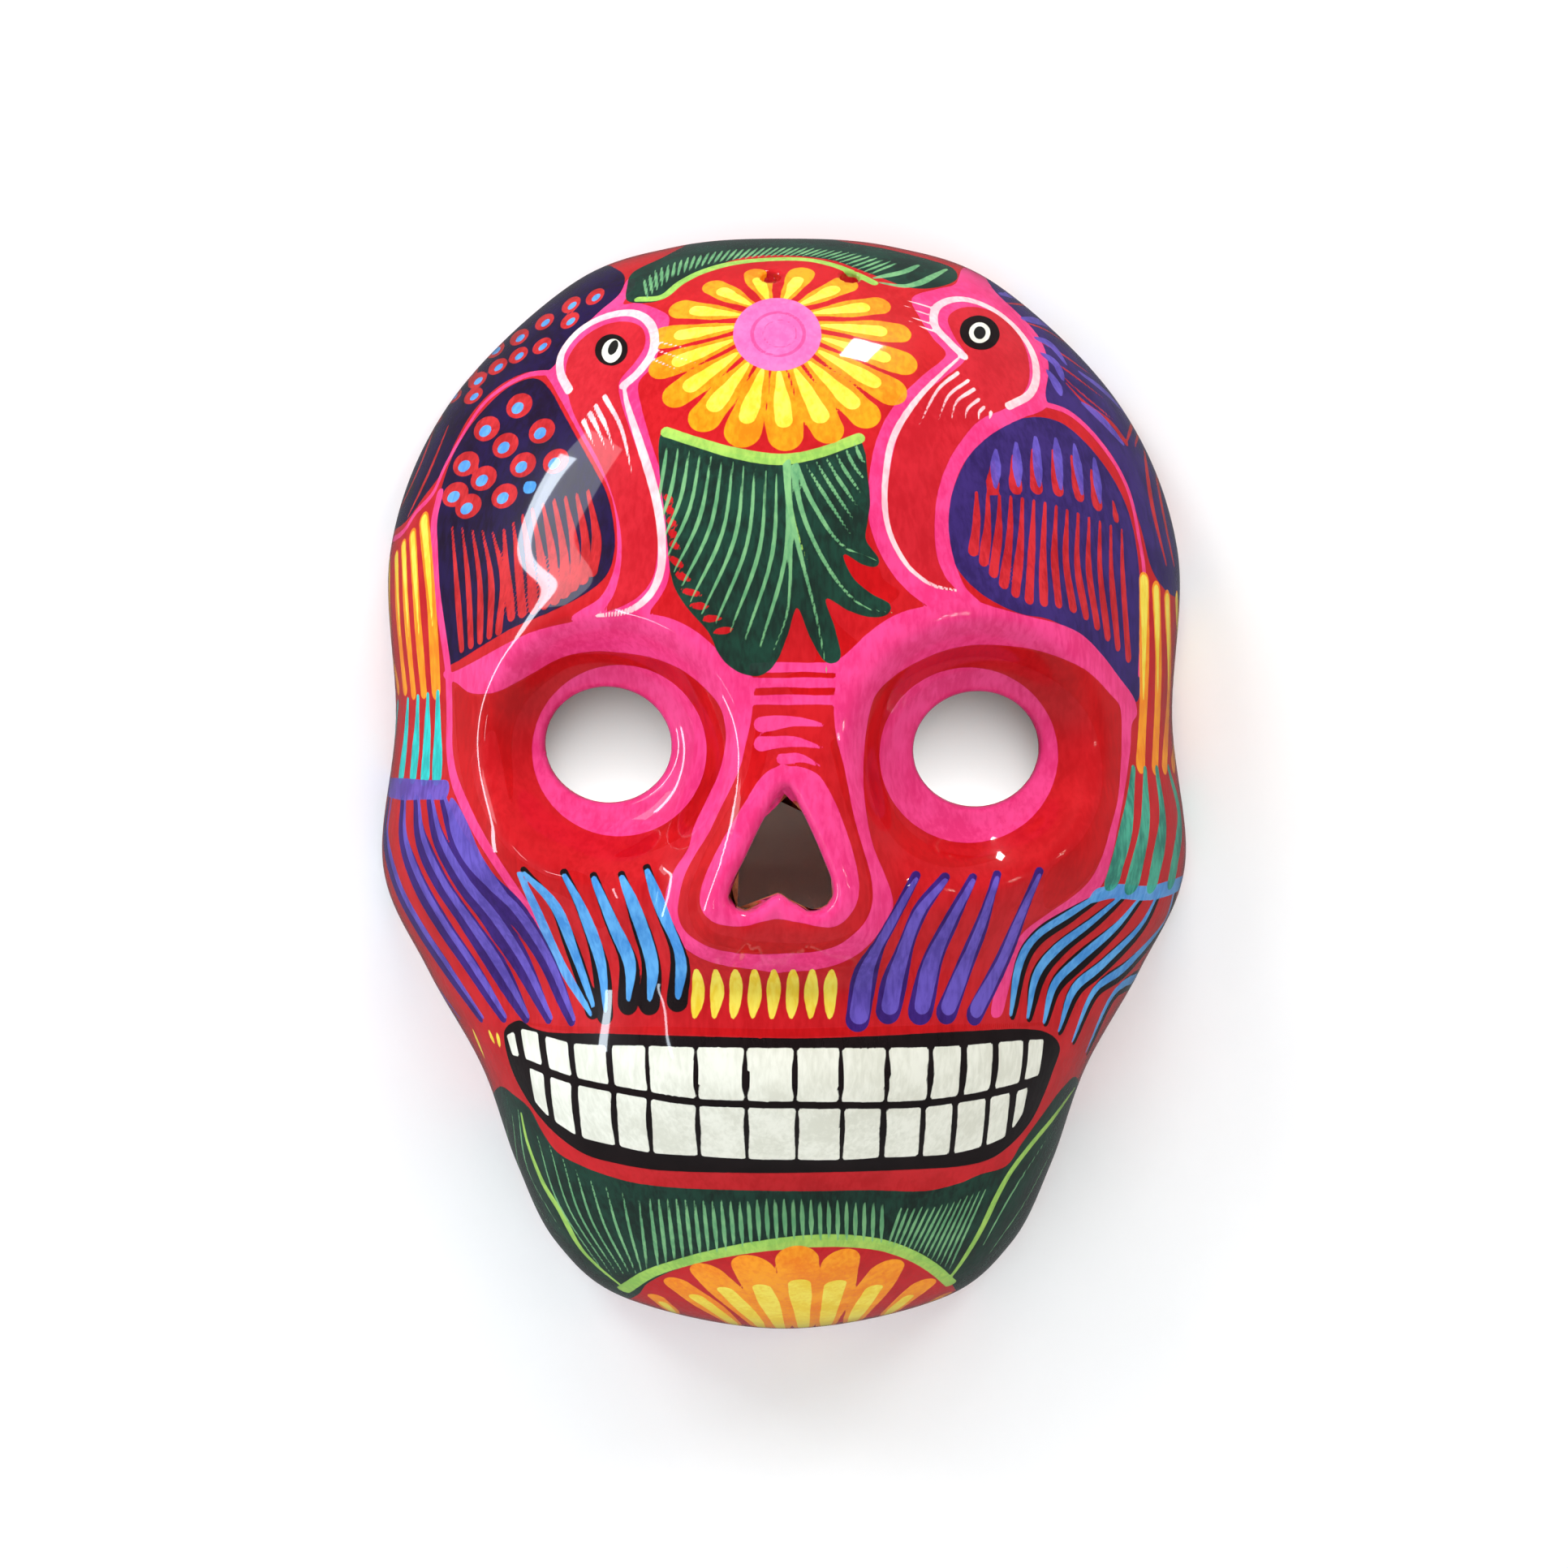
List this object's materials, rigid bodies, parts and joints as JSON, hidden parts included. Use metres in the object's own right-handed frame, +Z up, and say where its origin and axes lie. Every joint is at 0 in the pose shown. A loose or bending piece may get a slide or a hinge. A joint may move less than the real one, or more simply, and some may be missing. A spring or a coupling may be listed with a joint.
{
  "type": "wall mask",
  "caption": "Hollow fired-clay skull mask with a flat rim for hanging on a wall, open eye holes and a nose opening, and a hand-painted glossy face.",
  "frame": {"origin": "in the plane of the flat back rim, on the upright middle line, 3.3 mm above midway between the crown and the chin", "axes": "+Z up as the mask hangs, -Y out of the face away from the wall, +X to the viewer's right"},
  "size_m": [0.1854, 0.0866, 0.252],
  "materials": {
    "painted_clay": "glossy lacquer over hand painting, bare terracotta inside"
  },
  "bodies": {
    "root": {"mask_shell": "painted_clay"}
  },
  "joints": []
}
